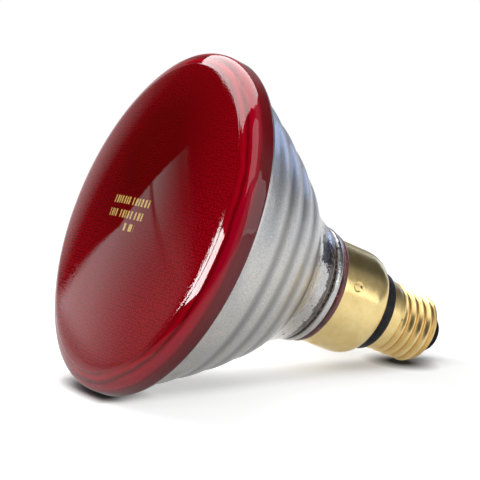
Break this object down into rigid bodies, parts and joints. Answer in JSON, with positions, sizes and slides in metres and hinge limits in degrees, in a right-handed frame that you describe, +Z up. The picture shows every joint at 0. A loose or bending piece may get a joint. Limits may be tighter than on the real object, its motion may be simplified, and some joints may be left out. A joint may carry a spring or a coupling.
{
  "type": "infrared heat lamp",
  "caption": "Sealed-beam red infrared heat lamp with a domed stippled glass lens, ringed glass reflector bowl and skirted brass screw cap, lying on its side.",
  "frame": {"origin": "centre of the lamp's box, on the surface it lies on", "axes": "+Z up; the lens faces -Y and tilts up, the cap points to +Y and down; the lamp's own axis lies in the YZ plane, tilted 23.26 degrees from +Y"},
  "size_m": [0.122, 0.144, 0.1142],
  "materials": {
    "red_glass": "deep red pressed glass: smooth polished rim, window with a fine stipple",
    "bowl_glass": "clear pressed glass, silvered behind, satin ringed outside and polished neck",
    "mirror": "bright evaporated aluminium",
    "clear_glass": "clear glass",
    "ferrule_metal": "oxidised nickel-iron cup",
    "nickel": "drawn nickel rod",
    "brazing_metal": "copper brazing",
    "tungsten": "drawn tungsten",
    "molybdenum": "drawn molybdenum",
    "skirt_brass": "bright drawn sheet brass with fine scuffs",
    "shell_brass": "rolled sheet brass, duller in the roots of the thread",
    "cement": "dark reddish-brown capping cement with a glossy skin where it shows",
    "black_insulation": "black moulded insulation, satin",
    "black_glass": "black end glass",
    "contact_brass": "tarnished brass eyelet",
    "solder": "dull soft solder",
    "wire_metal": "plated copper wire",
    "fuse_metal": "thin silvery fuse wire"
  },
  "bodies": {
    "root": {"front_lens": "red_glass", "reflector_bowl": "bowl_glass", "mirror_coating": "mirror", "ferrule_left": "ferrule_metal", "ferrule_right": "ferrule_metal", "lead_post_left": "nickel", "lead_post_right": "nickel", "post_brazing": "brazing_metal", "exhaust_tube": "clear_glass", "filament": "tungsten", "filament_supports": "molybdenum", "support_bead": "clear_glass", "skirt": "skirt_brass", "cement_ring": "cement", "insulating_ring": "black_insulation", "screw_shell": "shell_brass", "end_insulator": "black_glass", "contact_plate": "contact_brass", "contact_solder": "solder", "fuse_wire": "fuse_metal", "fuse_sleeve": "clear_glass", "centre_wire": "wire_metal", "shell_wire": "wire_metal", "shell_solder": "solder"}
  },
  "joints": []
}
